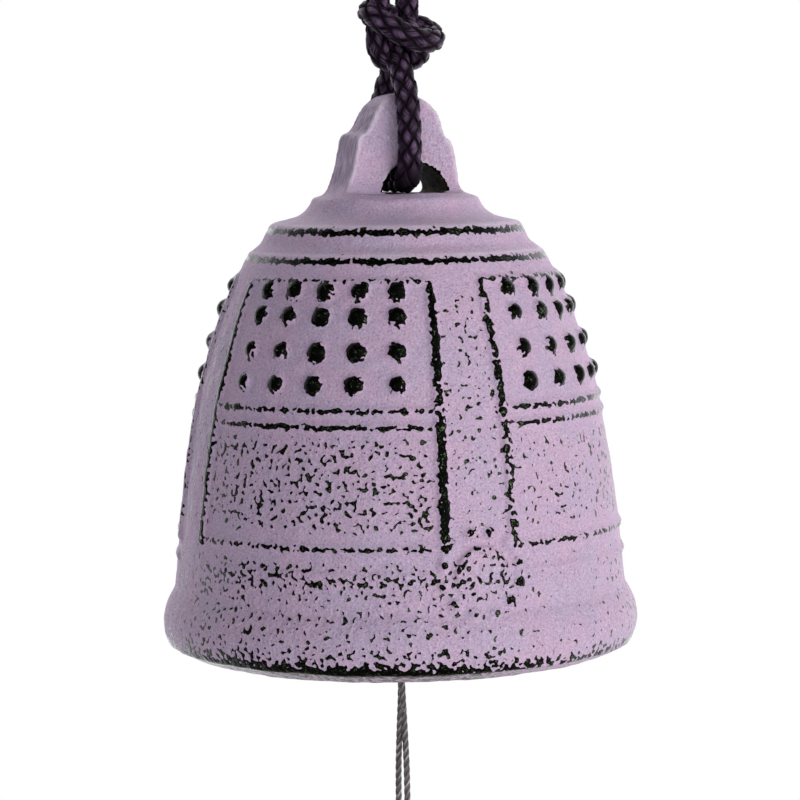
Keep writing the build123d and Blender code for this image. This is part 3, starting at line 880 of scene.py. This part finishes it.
def wear_and_grit(points, proud):
    """How far the paint is rubbed off at each point, and how sandy the casting is there."""
    height = height_of(points)
    radius = np.hypot(points[:, 0], points[:, 1])
    angle = np.arctan2(points[:, 1], points[:, 0])
    share = tau / BAND_COUNT
    aside = np.abs((angle + share / 2) % share - share / 2)
    panel = np.floor((angle + pi) / share).astype(int) % BAND_COUNT
    handled = 0.5 + 0.5 * np.cos(2 * (angle - HANDLED_ANGLE))
    weathered = ramp(np.cos(angle), 0.6, 0.95)
    cloud = waviness(points, 12 * MM, 5)

    in_panel = ramp(aside, BAND_HALF_ANGLE + 0.015, BAND_HALF_ANGLE + 0.06)
    low_panel = between(height, *LOW_PANEL, 0.9 * MM) * in_panel
    band = between(height, *BAND_SPAN) * ramp(-aside, -BAND_HALF_ANGLE, -BAND_HALF_ANGLE + 0.04)
    rib = near(aside, BAND_HALF_ANGLE, RIB_REACH) * between(height, *RIB_SPAN)
    foot = below(height, *FOOT_FADE)
    lip = below(height, *LIP_FADE)
    rim_line = between(height, *RIM_LINE, 0.3 * MM)
    rubbed_row = between(height, *RUBBED_ROW, 1.2 * MM)
    above = ramp(height, *SHOULDER_FADE)
    crown = ramp(height, *CROWN_FADE)
    from_seat = np.hypot(height - SEAT_HEIGHT, aside * FOOT_RADIUS)
    seat_side = np.abs(np.sin(angle)) > 0.9
    seat = ramp(-from_seat, -SEAT_REACH, -0.7 * SEAT_REACH) * seat_side
    petals = between(from_seat, *PETAL_RING) * seat_side

    across = angle % share - share / 2
    column = np.clip(np.round(across / NIPPLE_PITCH), -NIPPLE_ASIDE, NIPPLE_ASIDE)
    up = np.abs(height[:, None] - NIPPLE_HEIGHTS).min(axis=1)
    from_nipple = np.hypot((across - column * NIPPLE_PITCH) * radius, up)
    nipple = ramp(-from_nipple, -1.35 * NIPPLE_RADIUS, -0.75 * NIPPLE_RADIUS)

    wear = BASE_WEAR + BAND_WEAR * band
    wear = wear + low_panel * (LOW_PANEL_WEAR * PANEL_WEAR_SHARES[panel] + 0.11 * weathered)
    wear = wear + nipple * (NIPPLE_WEAR + 0.09 * cloud)
    wear = wear + rib * (RIB_WEAR + 0.2 * ramp(handled, 0.3, 0.7) + 0.06 * cloud)
    for at, amount in LINE_WEAR.items():
        wear = wear + in_panel * amount * near(height, at, LINE_REACH)
    for at, amount in LEDGE_WEAR.items():
        wear = wear + amount * near(height, at, LINE_REACH)
    rows = 0.04 * np.cos(tau * height / ROW_STEP) + 0.02 * cloud
    wear = wear + foot * (FOOT_WEAR + 0.11 * ramp(handled, 0.1, 0.8) + 0.19 * weathered + rows)
    wear = wear + rubbed_row * ROW_WEAR * ramp(handled, 0.1, 0.8)
    wear = wear + SEAT_WEAR * seat + lip * (LIP_WEAR + 0.04 * handled)
    wear = wear + rim_line * (RIM_LINE_WEAR + 0.22 * ramp(handled, 0.55, 0.85))

    # What stands proud is rubbed more, but less on the crown and on the foot
    gain = 1.2 - 0.5 * above - 0.5 * crown - 0.9 * np.maximum(foot, petals)
    gain = gain + petals * (0.6 + 0.3 * cloud)
    wear = wear + gain * np.maximum(proud / MM, 0)
    bare = in_lug_hole(points)
    wear = wear * (1 - bare) + bare
    lug = ramp(height, CROWN_HEIGHT + 1 * MM, CROWN_HEIGHT + 2 * MM)
    return wear, 0.25 + 0.75 * np.maximum(np.maximum(low_panel, foot), lug)


def side_shade_and_highlight(mesh, proud):
    """Painted shade on the lug's sides, in vertical streaks, and painted highlights on its edges, just
    above the ledges and in streaks down the bell's left side.
    """
    points = points_of(mesh)
    height = height_of(points)
    lug = ramp(height, CROWN_HEIGHT + 0.5 * MM, CROWN_HEIGHT + 2 * MM)
    # Painted shade on the lug's side faces
    lug_side_shade = lug * ramp(np.abs(normals_of(mesh)[:, 0]), 0.5, 0.8)
    # Painted highlight on the lug's sharp edges and just above each ledge
    pale_highlight = 0.4 * lug * ramp(proud, 0.17 * MM, 0.3 * MM)
    for at in LEDGE_WEAR:
        pale_highlight = pale_highlight + 0.35 * near(height, at + 0.8 * MM, 0.2 * MM)
    # Painted rim light in vertical streaks down the bell's left side
    from_left = np.arctan2(points[:, 1], -points[:, 0])
    left_rim_light = near(from_left, 0, LEFT_RIM_LIGHT_REACH) * between(height, *LEFT_RIM_LIGHT_SPAN, 3 * MM)
    streaks = waviness(points * (1, 1, 0.25), 1.4 * MM, 7)
    pale_highlight = pale_highlight + 0.4 * left_rim_light * ramp(streaks, 0.6, 1.8)
    return lug_side_shade, pale_highlight


iron_finish = bare_iron()
paint_finish = painted_iron()
skins, hollow = split_casting()
for skin, proud in skins:
    wear, grit = wear_and_grit(points_of(skin), proud)
    lug_side_shade, pale_highlight = side_shade_and_highlight(skin, proud)
    store(skin, "wear", wear)
    store(skin, "grit", grit)
    store(skin, "lug_side_shade", lug_side_shade)
    store(skin, "pale_highlight", pale_highlight)
(upper_skin, _), (lower_skin, _) = skins
piece("bell_upper_skin", upper_skin, "bell", "painted_iron", paint_finish, "bell_casting")
piece("bell_lower_skin", lower_skin, "bell", "painted_iron", paint_finish)
lighter_hollow = reshaped(hollow, "DECIMATE", ratio=HOLLOW_SHARE)
piece("bell_hollow", lighter_hollow, "bell", "bare_iron", iron_finish)


# Staple, clapper disc and paper strip
def wire_iron():
    """Drawn iron wire, dulled, with fine scratches along it."""
    finish = Finish("dull_iron_wire")
    scratch = finish.noise(finish.stretched(finish.place(), (1, 1, 0.1)), 0.15 * MM, 3.0)
    rust = finish.noise(finish.place(), 1.5 * MM, 3.0)
    return finish.shade(
        Base_Color=finish.mix(finish.step(rust, 0.5, 0.75), tint(92, 90, 88), tint(84, 62, 48)),
        Roughness=0.4 + 0.3 * scratch,
        Metallic=0.8,
        Normal=finish.bump(scratch, 0.03 * MM, 0.5),
    )


def washi():
    """Soft cream paper with long fibres pressed into it."""
    finish = Finish("cream_washi")
    place = finish.place()
    bend = finish.noise(place, 9 * MM, 2.0)
    pulp = finish.noise(place, 1.1 * MM, 4.0, 0.6)
    long_one = finish.noise(finish.stretched(place, (1.0, 1.0, 0.09)), 0.5 * MM, 1.0, 0.5, 1.6)
    long_two = finish.noise(finish.stretched(place, (0.1, 1.0, 0.8)), 0.5 * MM, 1.0, 0.5, 1.6)
    upright = finish.step(long_one, 0.66, 0.7)
    level = finish.step(long_two, 0.67, 0.71)
    fibre = finish.maths("MAXIMUM", upright, level)
    cream = finish.mix(finish.step(bend, 0.3, 0.7), tint(208, 198, 178), tint(198, 186, 164))
    cream = finish.mix(finish.step(pulp, 0.35, 0.75) * 0.5, cream, tint(216, 208, 192))
    return finish.shade(
        Base_Color=finish.mix(fibre * 0.6, cream, tint(166, 148, 118)),
        Roughness=0.9 - 0.1 * pulp,
        Specular_IOR_Level=0.25,
        Normal=finish.bump(pulp + 0.8 * fibre, 0.06 * MM, 0.8),
    )


staple = frame["nodes"]["clapper_staple"]
staple.data.materials.clear()
staple.data.materials.append(wire_iron())

disc = even_mesh("clapper_disc", DISC_GRAIN)
disc_points = smoothed(points_of(disc), edges_of(disc), 2)
disc_points = disc_points + normals_of(disc) * swell_of(disc_points, DISC_SWELLS)[:, None]
disc.vertices.foreach_set("co", disc_points.astype(np.float32).ravel())
piece("clapper_disc_cast", disc, "clapper", "bare_iron", iron_finish, "clapper_disc")

strip_low, strip_high = (np.array(corner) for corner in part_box("paper_strip"))


def graded(low, high, middle, fine, coarse, reach):
    """Grid lines from low to high, close together within reach of the middle."""
    lines = [low]
    while lines[-1] < high - coarse / 2:
        close = abs(lines[-1] + fine / 2 - middle) < reach
        lines.append(min(high, lines[-1] + (fine if close else coarse)))
    lines[-1] = high
    return np.array(lines)


def strip_sheet():
    """The paper strip with its punched hole, lightly bowed."""
    hole = np.array([0, STRIP_EYE[2] - STRIP_HOLE_DROP])
    steps = (STRIP_FINE, STRIP_COARSE, STRIP_FINE_REACH)
    across = graded(strip_low[0], strip_high[0], hole[0], *steps)
    down = graded(strip_low[2], strip_high[2], hole[1], *steps)
    x, z = np.meshgrid(across, down, indexing="ij")
    away = np.hypot(x - hole[0], z - hole[1])
    edge = np.abs(away - STRIP_HOLE_RADIUS) < 0.3 * MM
    pull = np.where(edge, STRIP_HOLE_RADIUS / np.maximum(away, 0.1 * MM), 1)
    x = hole[0] + (x - hole[0]) * pull
    z = hole[1] + (z - hole[1]) * pull
    drop = (hole[1] - z) / (strip_high[2] - strip_low[2])
    bow = STRIP_BOW * drop * np.sin(2.6 * drop) + STRIP_CUP * drop * (x / strip_high[0]) ** 2
    points = np.stack([x, bow, z], -1).reshape(-1, 3)
    rows = np.arange(x.size).reshape(x.shape)
    corners = [rows[:-1, :-1], rows[1:, :-1], rows[1:, 1:], rows[:-1, 1:]]
    faces = np.stack(corners, -1).reshape(-1, 4)
    punched = np.hypot(points[:, 0] - hole[0], points[:, 2] - hole[1]) < STRIP_HOLE_RADIUS * 0.93
    flat, _ = part_of("strip", points, faces[~punched[faces].any(axis=1)])
    return reshaped(flat, "SOLIDIFY", thickness=STRIP_THICKNESS, offset=0)


strip_mesh = strip_sheet()
paper_strip = piece("paper_strip_washi", strip_mesh, "strip", "washi", washi(), "paper_strip")


# Lights and floor
def light_scene():
    """Soft white from the front and from behind; the camera sees plain white."""
    world = bpy.data.worlds.new("studio")
    bpy.context.scene.world = world
    nodes = Nodes(world)
    cool = (0.96, 0.975, 1, 1)
    way = nodes.node("ShaderNodeTexCoord", output="Generated")
    settings = {"operation": "DOT_PRODUCT"}
    front = nodes.node("ShaderNodeVectorMath", settings, {0: way, 1: NEAR}, "Value")
    behind = nodes.step(-1 * front, 0.1, 0.9)
    level = FILL + FRONT * nodes.step(front, 0.35, 0.95) + BACKDROP * behind
    fill = nodes.node("ShaderNodeBackground", {}, {"Color": cool, "Strength": level})
    seen = nodes.node("ShaderNodeBackground", {}, {"Color": (1, 1, 1, 1), "Strength": 1.0})
    ray = nodes.node("ShaderNodeLightPath", output="Is Camera Ray")
    mixed = nodes.node("ShaderNodeMixShader", {}, {0: ray, 1: fill, 2: seen})
    nodes.feed(nodes.tree.nodes["World Output"].inputs["Surface"], mixed)


def lay_key_light():
    """A broad lamp to the right of the camera."""
    key = bpy.data.objects.new("key", bpy.data.lights.new("key", "AREA"))
    bpy.context.scene.collection.objects.link(key)
    key.data.size = KEY_SIZE
    key.data.energy = KEY_ENERGY
    key.data.color = (1, 0.985, 0.95)
    way = RIGHT * sin(KEY_ANGLE) + NEAR * cos(KEY_ANGLE) + UP * KEY_RISE
    key.location = UP * (RIM_Z + KEY_AIM) + KEY_DISTANCE * way
    key.rotation_euler = Vector(way).to_track_quat("Z", "Y").to_euler()


def lay_floor():
    finish = Finish("pale_floor")
    cloud = finish.noise(finish.place(), 0.05, 3.0)
    finish.shade(
        Base_Color=finish.mix(cloud, tint(226, 224, 222), tint(236, 234, 232)),
        Roughness=0.8,
    )
    turn = tau * np.arange(FLOOR_CORNERS) / FLOOR_CORNERS
    height = np.full(FLOOR_CORNERS, FLOOR_Z)
    edge = np.stack([FLOOR_RADIUS * np.cos(turn), FLOOR_RADIUS * np.sin(turn), height], -1)
    mesh = mesh_of("floor", edge, np.arange(FLOOR_CORNERS)[None])
    mesh.materials.append(finish.material)
    floor = bpy.data.objects.new("floor", mesh)
    bpy.context.scene.collection.objects.link(floor)


light_scene()
lay_key_light()
lay_floor()
bpy.context.scene.view_settings.view_transform = "Standard"
